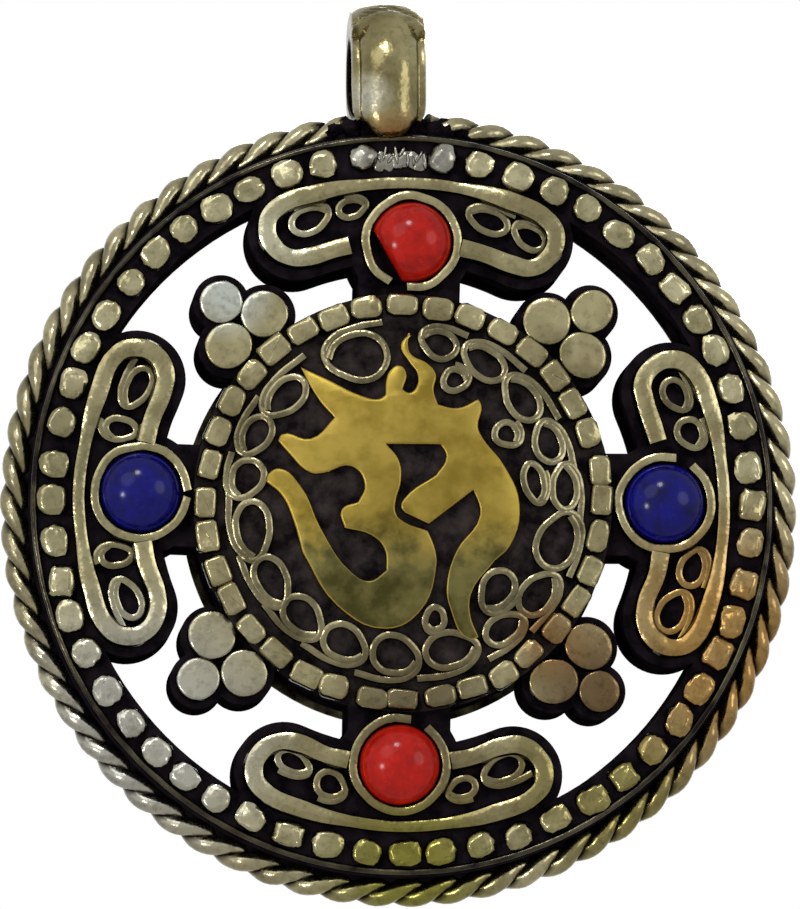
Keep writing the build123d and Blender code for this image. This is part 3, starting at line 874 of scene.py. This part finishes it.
# Filigree: fine wire curls on the dome and in the lobes, as (ring, angle, across, along, tail).
DOME_CURLS = [
    (9.45, 107.6, 3.5, 4.0, 1.0),
    (9.85, 138.5, 2.3, 3.3, 1.7),
    (10.1, 156.0, 2.1, 2.9, 1.7),
    (9.9, 172.0, 2.4, 2.7, 1.2),
    (9.6, 190.7, 2.5, 3.9, 1.3),
    (9.65, 211.0, 2.3, 3.5, 1.4),
    (9.6, 228.7, 2.4, 3.2, 1.5),
    (9.6, 247.0, 2.5, 3.1, 1.6),
    (9.6, 266.3, 2.8, 3.2, 1.5),
    (9.7, 287.0, 2.6, 3.5, 1.4),
    (10.1, 308.0, 2.1, 2.9, 1.4),
    (10.15, 325.3, 2.4, 3.3, 1.3),
    (9.9, 345.6, 3.0, 3.9, 1.0),
    (10.1, 5.2, 2.0, 3.1, 1.5),
    (9.75, 22.3, 2.2, 2.9, 1.5),
    (9.8, 41.0, 2.4, 3.3, 1.5),
    (10.1, 59.8, 2.3, 3.2, 1.6),
    (10.1, 77.3, 2.2, 2.6, 1.4),
]
SMALL_CURLS = [
    (7.6, 284.0, 1.8, 1.6, 0.4),
    (8.0, 316.0, 2.4, 3.0, 0.6),
    (8.2, 8.0, 1.7, 2.8, 0.5),
    (7.6, 33.0, 1.9, 1.9, 0.5),
    (8.2, 67.0, 1.9, 1.8, 0.5),
]
LOBE_CURLS = {
    "top": [
        (18.7, 108, 1.95, 2.8, 0.6),
        (18.8, 99.6, 1.5, 2.1, 0.4),
        (18.6, 73, 1.8, 2.9, 1.2),
        (18.6, 64.4, 1.8, 2.5, 1.2),
    ],
    "left": [
        (18.05, 156.5, 1.9, 3.0, 1.3),
        (18.2, 165.5, 2.4, 1.7, 0.5),
        (18.2, 190.5, 2.4, 1.7, 0.5),
        (18.2, 199.4, 1.9, 2.9, 1.3),
    ],
    "right": [
        (18.5, 21.8, 1.9, 2.4, 1.2),
        (18.6, 13.8, 2.0, 2.2, 0.8),
        (18.6, 347.5, 2.0, 2.7, 0.9),
        (18.2, 338.1, 2.2, 3.0, 1.2),
    ],
    "bottom": [
        (17.6, 247, 1.7, 2.5, 0.6),
        (18.2, 255.5, 2.0, 2.2, 0.6),
        (17.7, 290.5, 2.0, 2.9, 1.2),
        (18.2, 281.5, 1.6, 2.1, 0.6),
    ],
}

WIRE_WANDER, DOME_SUNK, CURL_STEPS = 0.03, 0.1, 4
fine_section = wire_section(0.5, 0.6)


def dome_stops(path):
    """Stops lifted onto the dome and kept inside the ring of granules."""
    stops = []
    for x, y in path:
        squeeze = min(1.0, (FIELD_RADIUS - CURL_INSET) / hypot(x, y))
        x = x * squeeze + chance.uniform(-WIRE_WANDER, WIRE_WANDER)
        y = y * squeeze + chance.uniform(-WIRE_WANDER, WIRE_WANDER)
        stops.append((x, y, dome_height(x, y) - DOME_SUNK))
    return stops


wires = []
for hand, shapes in ((1, DOME_CURLS), (-1, SMALL_CURLS)):
    for shape in shapes:
        stops = dome_stops(curl(*shape, hand))
        wires.append(bend_wire("curl", stops, fine_section, steps=CURL_STEPS))
filigree = join("dome_filigree", wires)
smooth(filigree, 35)
fit(hang(filigree), fine_wire, "worn_white_metal", "centre_scrolls")

for side, shapes in LOBE_CURLS.items():
    wires = []
    for shape in shapes:
        hand = 1 if (shape[1] - LOBES[side] + 180) % 360 < 180 else -1
        stops = [(x, y, FRONT - SUNK) for x, y in curl(*shape, hand)]
        wires.append(bend_wire("curl", stops, fine_section, steps=CURL_STEPS))
    curls = join(f"{side}_lobe_filigree", wires)
    smooth(curls, 35)
    fit(hang(curls), fine_wire, "worn_white_metal", f"{side}_lobe_scrolls")
drop(fine_section)

# Emblem: sawn from sheet brass and domed to fit. Each run starts at a corner of the outline.
EMBLEM_RUNS = [
    [(-6.5, 8.45), (-4.85, 7.65), (-2.65, 6.55), (-1.6, 6.35)],
    [(-1.2, 6.6), (-1.15, 7.5), (-0.9, 8.15), (-0.3, 8.5), (0.15, 8.0)],
    [(-0.1, 6.95), (0.3, 6.75), (0.75, 7.15), (0.8, 7.95), (0.3, 8.7), (-0.2, 9.8)],
    [(0.5, 10.65), (0.3, 9.95), (0.45, 9.25), (1.45, 8.65), (2.0, 7.95), (1.85, 6.9)],
    [(2.1, 6.0), (3.3, 5.8)],
    [(4.65, 6.4), (4.85, 5.9), (4.6, 4.6), (4.9, 3.9), (6.2, 2.25), (7.2, -0.25), (6.6, -2.8)],
    [(5.6, -3.8), (4.15, -5.8), (4.1, -7.15)],
    [(4.65, -8.5), (4.05, -8.7), (2.75, -6.65), (2.55, -5.4), (3.15, -3.2), (4.65, -0.9)],
    [(4.25, 0.6)],
    [(1.45, -1.55)],
    [(-0.05, -0.85), (-0.3, -0.5), (-0.1, 0.05)],
    [(1.9, 1.55), (2.55, 2.7)],
    [(2.2, 3.45)],
    [(-1.15, 3.45), (-0.4, 2.5), (-0.25, 1.2), (-0.6, -0.15), (-0.6, -0.8), (-0.35, -1.2)],
    [(1.4, -1.95), (1.85, -3.05), (1.95, -4.1), (0.9, -7.0), (-1.2, -8.05), (-4.25, -6.6)],
    [(-6.4, -3.3), (-7.0, -1.2), (-7.7, 0.3)],
    [(-8.65, 1.15), (-8.5, 1.65), (-7.8, 2.0), (-6.5, 0.9)]
    + [(-5.2, -1.85), (-3.35, -4.5), (-2.25, -5.05)],
    [(-1.2, -4.4), (-1.35, -3.05), (-2.15, -2.25)],
    [(-3.8, -1.8), (-4.0, -0.65)],
    [(-2.95, -0.15), (-2.55, 0.9), (-3.35, 2.05), (-5.05, 1.65), (-5.85, 1.65), (-7.35, 3.05)],
    [(-7.9, 3.7), (-7.65, 4.15), (-5.85, 3.85)],
    [(-4.4, 5.15), (-5.3, 6.2)],
]
EMBLEM_LIFT, EMBLEM_SUNK = 0.55, 0.1
EMBLEM_EDGE = 0.15
EMBLEM_MERGE = 0.004
EMBLEM_CUTS = range(-8, 11)

bpy.ops.curve.primitive_bezier_circle_add(radius=MM)
emblem = bpy.context.object
emblem.name = "brass_emblem"
outline = emblem.data.splines[0]
stops = [(stop, index == 0) for run in EMBLEM_RUNS for index, stop in enumerate(run)]
outline.bezier_points.add(len(stops) - len(outline.bezier_points))
for point, (stop, corner) in zip(outline.bezier_points, stops):
    point.co = (stop[0] * MM, stop[1] * MM, 0)
    point.handle_left_type = point.handle_right_type = "VECTOR" if corner else "AUTO"
outline.resolution_u = 5
emblem.data.dimensions = "2D"
emblem.data.fill_mode = "BOTH"
emblem.data.extrude = (EMBLEM_LIFT + EMBLEM_SUNK) / 2 * MM - EMBLEM_EDGE * MM
emblem.data.bevel_depth = EMBLEM_EDGE * MM
emblem.data.bevel_resolution = 2
emblem.data.offset = -EMBLEM_EDGE * MM
select_only(emblem)
bpy.ops.object.convert(target="MESH")
emblem = bpy.context.object
bpy.ops.object.mode_set(mode="EDIT")
bpy.ops.mesh.select_all(action="SELECT")
bpy.ops.mesh.remove_doubles(threshold=EMBLEM_MERGE * MM)
# Cuts a millimetre apart let the flat sheet follow the dome.
for step in EMBLEM_CUTS:
    cut = step * MM
    for normal in ((1, 0, 0), (0, 1, 0)):
        bpy.ops.mesh.select_all(action="SELECT")
        bpy.ops.mesh.bisect(plane_co=(cut, cut, 0), plane_no=normal)
close_edit()
for vertex in emblem.data.vertices:
    x, y = vertex.co.x / MM, vertex.co.y / MM
    vertex.co.z += (dome_height(x, y) + (EMBLEM_LIFT - EMBLEM_SUNK) / 2) * MM
smooth(emblem, 35)
fit(hang(emblem), brass, "brass_cutout", "emblem")

# Bail: strip with a raised middle and a rib along each edge, bent round and soldered at its foot.
STRIP, HALF_WIDTH = 1.9, 2.32
HALF_SECTION = [
    (0.0, 1.0),
    (0.28, 0.97),
    (0.52, 0.87),
    (0.7, 0.7),
    (0.8, 0.46),
    (0.85, 0.44),
    (0.97, 0.47),
    (1.0, 0.4),
    (1.0, 0.06),
    (0.95, 0.0),
    (0.0, 0.0),
]
ROOF_LIFTS = [0.99, 0.98, 0.96, 0.93, 0.9, 0.87, 0.8, 0.66, 0.06, 0.0, 0.0]
SECTION_POINTS = 2 * (len(HALF_SECTION) - 1)
# The fold over the top: where it ends behind and in front, its crease and its crown.
ROOF_BACK, ROOF_FRONT, ROOF_SWEEP = 45, 33, 17
CREASE_PLACE, CREASE_WIDTH, CREASE_DEPTH, CREASE_POINTS = 9, 1.6, 0.07, 7
CROWN = 0.24
# The back, where the middle is raised less above the ribs.
RIB_LIFT, BACK_SHARE = 0.47, 0.75
# The foot: where the strip starts to narrow, how much, and how square it is worked in front.
TAPER_START, FRONT_TAPER, BACK_TAPER = 100, 0.93, 0.6
FOOT_STRETCH, FRONT_STRETCH, FRONT_SQUARE, OUTSIDE_LIFT = 1.03, 0.09, 0.7, 0.4
bpy.ops.mesh.primitive_torus_add(
    major_radius=1, minor_radius=0.4, major_segments=180, minor_segments=SECTION_POINTS
)
bail = bpy.context.object
bail.name = "bail_strip"
bail.rotation_euler = (0, pi / 2, 0)
apply_place(bail)
for vertex in bail.data.vertices:
    across, depth, up = vertex.co
    swing = atan2(-depth, up)
    around_strip = atan2(across, hypot(depth, up) - 1) / (2 * pi)
    turn = round(around_strip * SECTION_POINTS) % SECTION_POINTS
    step = min(turn, SECTION_POINTS - turn)
    side, lift = HALF_SECTION[step]
    roof = radians(ROOF_FRONT + ROOF_SWEEP * side)
    if -radians(ROOF_BACK) < swing < roof:
        from_crease = abs(swing - roof + radians(CREASE_PLACE))
        creased = from_crease < radians(CREASE_WIDTH) and step < CREASE_POINTS
        lift = ROOF_LIFTS[step] - (CREASE_DEPTH if creased else 0)
    elif lift > RIB_LIFT and swing < 0:
        lift = RIB_LIFT + (lift - RIB_LIFT) * BACK_SHARE
    taper = max(0.0, (abs(swing) - radians(TAPER_START)) / radians(180 - TAPER_START))
    narrow = sqrt(1 - ((FRONT_TAPER if swing > 0 else BACK_TAPER) * taper) ** 2)
    forward, rise = sin(swing), cos(swing)
    crown = CROWN * max(0, rise) ** 3 * (1 - 0.5 * side**2)
    reach = (BORE + STRIP * lift * (1 + crown)) * MM
    if rise < 0:
        # The foot is worked square in front, so that it comes down over the band's edge.
        outside = min(1, lift / OUTSIDE_LIFT) if forward > 0 else 0
        square = 1 - FRONT_SQUARE * outside
        forward = copysign(abs(forward) ** square, forward)
        rise = -((-rise * (FOOT_STRETCH + FRONT_STRETCH * outside)) ** square)
    vertex.co = (
        (side if turn <= SECTION_POINTS / 2 else -side) * HALF_WIDTH * narrow * MM,
        -reach * forward,
        reach * rise,
    )
smooth(bail, 38)
fit(bail, bail_metal, "worn_white_metal", "bail")


# Solder: silver lumps and streaks under the foot of the bail, and burnt flux at the rope's ends.
def lump(number, place, size, turn, rough):
    """Uneven lump of the given size, set down on the bench."""
    bpy.ops.mesh.primitive_ico_sphere_add(subdivisions=3, radius=MM)
    blob = bpy.context.object
    bpy.ops.object.mode_set(mode="EDIT")
    bpy.ops.mesh.select_all(action="SELECT")
    bpy.ops.transform.vertex_random(offset=rough * MM, seed=number)
    bpy.ops.mesh.vertices_smooth(factor=0.5, repeat=1)
    close_edit()
    blob.matrix_world = Matrix.LocRotScale(Vector(place) * MM, Euler((0, 0, turn)), Vector(size))
    apply_place(blob)
    return blob


# A lump at each side of the foot, a row of flat lumps between them and a row of streaks on those.
FOOT_LINE = RIM_RING - 0.1
lumps = [
    lump(1, (-2.4, FOOT_LINE, FRONT + 0.15), (1.0, 0.9, 0.62), 0.3, 0.22),
    lump(2, (2.6, FOOT_LINE - 0.05, FRONT + 0.15), (1.1, 0.9, 0.6), 1.2, 0.22),
]
for number in range(6):
    place = (-1.3 + 0.5 * number, FOOT_LINE + chance.uniform(-0.25, 0.25), FRONT)
    size = (chance.uniform(0.5, 0.75), chance.uniform(0.5, 0.8), 0.22)
    lumps.append(lump(len(lumps) + 1, place, size, chance.uniform(0, 3), 0.3))
for number in range(9):
    place = (-1.4 + 0.36 * number, RIM_RING + chance.uniform(-0.35, 0.35), FRONT + 0.12)
    size = (chance.uniform(0.1, 0.16), chance.uniform(0.35, 0.65), 0.2)
    lumps.append(lump(len(lumps) + 1, place, size, chance.uniform(-0.6, 0.3), 0.12))
solder = join("bail_solder", lumps)
smooth(solder, 60)
fit(hang(solder), solder_metal, "worn_white_metal")

# Crusts beside the bail and close to its foot: how many, and between which places across.
CRUST_SPANS = [(16, 0.9, 4.4), (10, -4.2, -2.3), (6, -2.8, -1.8), (5, 0.2, 1.0)]
FIRST_CRUST = 20
crusts = []
for count, left, right in CRUST_SPANS:
    for number in range(len(crusts), len(crusts) + count):
        u = chance.uniform(left, right)
        v = sqrt((ROPE_RING - chance.uniform(0.0, 1.0)) ** 2 - u**2)
        size = [chance.uniform(0.35, 0.75) for axis in range(3)]
        place = (u, v, chance.uniform(0.0, 2.0))
        crusts.append(lump(FIRST_CRUST + number, place, size, number, 0.6))
flux = join("burnt_flux", crusts)
smooth(flux, 30)
fit(hang(flux), black, "blackened_metal")

# Seat: dark solder that beds the rope on the rim's wall.
SEAT_INSET, SEAT_RADIUS = 0.75, 0.34
bpy.ops.mesh.primitive_torus_add(
    major_radius=(ROPE_RING - SEAT_INSET) * MM,
    minor_radius=SEAT_RADIUS * MM,
    major_segments=160,
    minor_segments=10,
    location=(0, 0, ROPE_HEIGHT * MM),
)
seat = bpy.context.object
seat.name = "rope_seat"
apply_place(seat)
smooth(seat, 60)
fit(hang(seat), black, "blackened_metal")

# Rope: two strands twisted hard, so that they bed into each other, and open at the bail.
ROPE_TURNS, ROPE_START, ROPE_SWEEP = 32, 97.7, 348.1
STRAND_RADIUS, STRAND_THROW, STRAND_INSET, STOPS_PER_TURN = 0.6, 0.37, 0.08, 8
bpy.ops.curve.primitive_bezier_circle_add(radius=STRAND_RADIUS * MM)
strand_section = bpy.context.object
strand_section.data.splines[0].resolution_u = 3
strands = []
for phase in (0, pi):
    stops, widths = [], []
    for step in range(ROPE_TURNS * STOPS_PER_TURN + 1):
        twist = 2 * pi * step / STOPS_PER_TURN + phase
        angle = ROPE_START + ROPE_SWEEP * step / (ROPE_TURNS * STOPS_PER_TURN)
        ring = ROPE_RING - STRAND_INSET + STRAND_THROW * cos(twist)
        stops.append(around(ring, angle, ROPE_HEIGHT + STRAND_THROW * sin(twist)))
        widths.append(chance.uniform(0.96, 1.05))
    strands.append(bend_wire("strand", stops, strand_section, widths, steps=2))
rope = join("twisted_rope", strands)
smooth(rope, 60)
fit(hang(rope), rope_metal, "worn_white_metal", "rim_rope")
drop(strand_section)

# Lid: turned sheet with a softened edge and a shallow line inside its border.
LID_RADIUS, LID_SHEET, LID_EDGE = DRUM_RADIUS + 0.4, 0.7, 0.2
LINE_INSET, LINE_SLOPE, LINE_DEPTH = 1.1, 0.15, 0.12
bpy.ops.mesh.primitive_cylinder_add(
    vertices=112,
    radius=LID_RADIUS * MM,
    depth=LID_SHEET * MM,
    location=(0, 0, -(FRONT + LID_SHEET / 2) * MM),
)
lid = bpy.context.object
lid.name = "turned_lid"
apply_place(lid)
pick_faces(lid, lambda centre, normal: normal.z < -0.9)
bpy.ops.mesh.bevel(offset=LID_EDGE * MM, segments=3, affect="EDGES")
close_edit()
pick_faces(lid, lambda centre, normal: normal.z < -0.99)
bpy.ops.mesh.inset(thickness=LINE_INSET * MM, depth=0)
bpy.ops.mesh.inset(thickness=LINE_SLOPE * MM, depth=-LINE_DEPTH * MM)
bpy.ops.mesh.inset(thickness=LINE_SLOPE * MM, depth=LINE_DEPTH * MM)
close_edit()
smooth(lid, 30)
fit(hang(lid), lid_black, "blackened_metal", "back_lid", body="lid")

# Charm: a rolled strip of bark paper, tied with wound thread.
roll_low, roll_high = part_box("prayer_roll")
ROLL_RADIUS = (roll_high.z - roll_low.z) / 2 / MM
ROLL_CORE, ROLL_GROWTH, ROLL_STEPS, PAPER_SHEET = 0.5, 1.2, 30, 0.12
TIE_REACH, TIE_STEPS, TIE_THREAD = ROLL_RADIUS + 0.02, 40, 0.26
bpy.ops.curve.primitive_bezier_curve_add(radius=MM)
roll = bpy.context.object
roll.name = "paper_roll"
turns = roll.data.splines[0]
stops = []
for step in range(ROLL_STEPS + 1):
    reach = ROLL_CORE + ROLL_GROWTH * step / ROLL_STEPS
    stops.append((reach * sin(step * pi / 4), reach * cos(step * pi / 4)))
turns.bezier_points.add(len(stops) - len(turns.bezier_points))
for point, (x, y) in zip(turns.bezier_points, stops):
    point.co = (x * MM, y * MM, 0)
    point.handle_left_type = point.handle_right_type = "AUTO"
turns.resolution_u = 3
roll.data.extrude = (roll_high.x - roll_low.x) / 2
select_only(roll)
bpy.ops.object.convert(target="MESH")
roll = bpy.context.object
wall = roll.modifiers.new("sheet", "SOLIDIFY")
wall.thickness = PAPER_SHEET * MM
wall.offset = 0
bpy.ops.object.modifier_apply(modifier=wall.name)
roll.rotation_euler = (0, pi / 2, 0)
roll.location = (roll_low + roll_high) / 2
apply_place(roll)
smooth(roll, 45)
fit(roll, paper, "handmade_paper", "prayer_roll")

thread_section = wire_section(TIE_THREAD, TIE_THREAD)
stops = [
    (TIE_REACH * sin(step * pi / 4), TIE_REACH * cos(step * pi / 4), step / TIE_STEPS - 0.5)
    for step in range(TIE_STEPS + 1)
]
tie = bend_wire("wound_thread", stops, thread_section, steps=3)
tie.rotation_euler = (0, pi / 2, 0)
tie.location = (roll_low + roll_high) / 2
apply_place(tie)
smooth(tie, 60)
fit(tie, thread, "cotton_thread", "roll_thread")
drop(thread_section)

# Studio: a pale floor well below the hanging pendant, soft lamps and a white surround.
# The floor's card fades into the white surround. These sizes are in metres.
FLOOR_SIZE, FLOOR_DROP, FADE_START, FADE_END = 6, 0.13, 0.3, 0.9
bpy.ops.mesh.primitive_plane_add(size=FLOOR_SIZE, location=(0, 0, cad_low.z - FLOOR_DROP))
floor = bpy.context.object
floor.name = "pale_floor"
card = new_material("pale_card")
point = add(card, "ShaderNodeTexCoord", {}, "Object")
reach = add(card, "ShaderNodeVectorMath", {0: point}, "Value", operation="LENGTH")
share = add(
    card,
    "ShaderNodeMapRange",
    {"Value": reach, "From Min": FADE_START, "From Max": FADE_END, "To Min": 1.0, "To Max": 0.0},
)
matt = add(card, "ShaderNodeBsdfPrincipled", {"Base Color": linear("#EDEBE7"), "Roughness": 0.9})
clear = add(card, "ShaderNodeBsdfTransparent", {})
fading = add(card, "ShaderNodeMixShader", {0: share, 1: clear, 2: matt})
add(card, "ShaderNodeOutputMaterial", {"Surface": fading})
floor.data.materials.append(card)

# Lamps: name, place from the pendant's middle in metres, width in metres and power in watts.
LAMPS = [
    ("high_window", (-0.066, -0.43, 0.414), 0.1, 0.85),
    ("left_lamp", (-0.39, -0.454, -0.05), 0.09, 0.75),
    ("soft_key", (-0.25, -0.4, 0.25), 0.3, 0.4),
    ("soft_fill", (0.35, -0.36, 0.1), 0.24, 0.38),
    ("back", (0.1, 0.4, 0.2), 0.3, 0.9),
]
for name, place, width, power in LAMPS:
    bpy.ops.object.light_add(type="AREA", location=Vector(place) + Vector((0, 0, CENTRE.z)))
    lamp = bpy.context.object
    lamp.name = name
    lamp.data.shape = "DISK"
    lamp.data.size = width
    lamp.data.energy = power
    lamp.visible_camera = False
    aim = Vector((0, 0, CENTRE.z)) - lamp.location
    lamp.rotation_euler = aim.to_track_quat("-Z", "Y").to_euler()

world = bpy.data.worlds.new("white_surround")
bpy.context.scene.world = world
world.use_nodes = True
world.node_tree.nodes.clear()
camera_ray = add(world, "ShaderNodeLightPath", {}, "Is Camera Ray")
glossy_ray = add(world, "ShaderNodeLightPath", {}, "Is Glossy Ray")
through_ray = add(world, "ShaderNodeLightPath", {}, "Is Transmission Ray")
mirrored = add(world, "ShaderNodeMath", {0: camera_ray, 1: glossy_ray}, operation="MAXIMUM")
seen = add(world, "ShaderNodeMath", {0: mirrored, 1: through_ray}, operation="MAXIMUM")
ambient = add(world, "ShaderNodeBackground", {"Color": linear("#FFFFFF"), "Strength": 0.45})
white = add(world, "ShaderNodeBackground", {"Color": linear("#FFFFFF"), "Strength": 1.0})
blend = add(world, "ShaderNodeMixShader", {0: seen, 1: ambient, 2: white})
add(world, "ShaderNodeOutputWorld", {"Surface": blend})
bpy.context.scene.view_settings.view_transform = "Standard"

# Camera: a little left of the pendant and below its middle, from far off, as in the photograph.
CAMERA_DISTANCE, CAMERA_SIDE, CAMERA_RISE, CAMERA_ROLL = 0.48, -4.154, -6.044, 0.205
TARGET = Vector((0.000834, 0, -0.023933))
FOCAL_PIXELS, LONG_SIDE = 7628.3, 909
side, rise = radians(CAMERA_SIDE), radians(CAMERA_RISE)
back = Vector((sin(side) * cos(rise), -cos(side) * cos(rise), sin(rise)))
bpy.ops.object.camera_add(location=TARGET + back * CAMERA_DISTANCE)
camera = bpy.context.object
lean = Euler((0, 0, radians(-CAMERA_ROLL))).to_quaternion()
camera.rotation_euler = (back.to_track_quat("Z", "Y") @ lean).to_euler()
camera.data.sensor_width = 36
camera.data.lens = FOCAL_PIXELS / LONG_SIDE * camera.data.sensor_width
camera.data.clip_start, camera.data.clip_end = 0.01, 20
bpy.context.scene.camera = camera
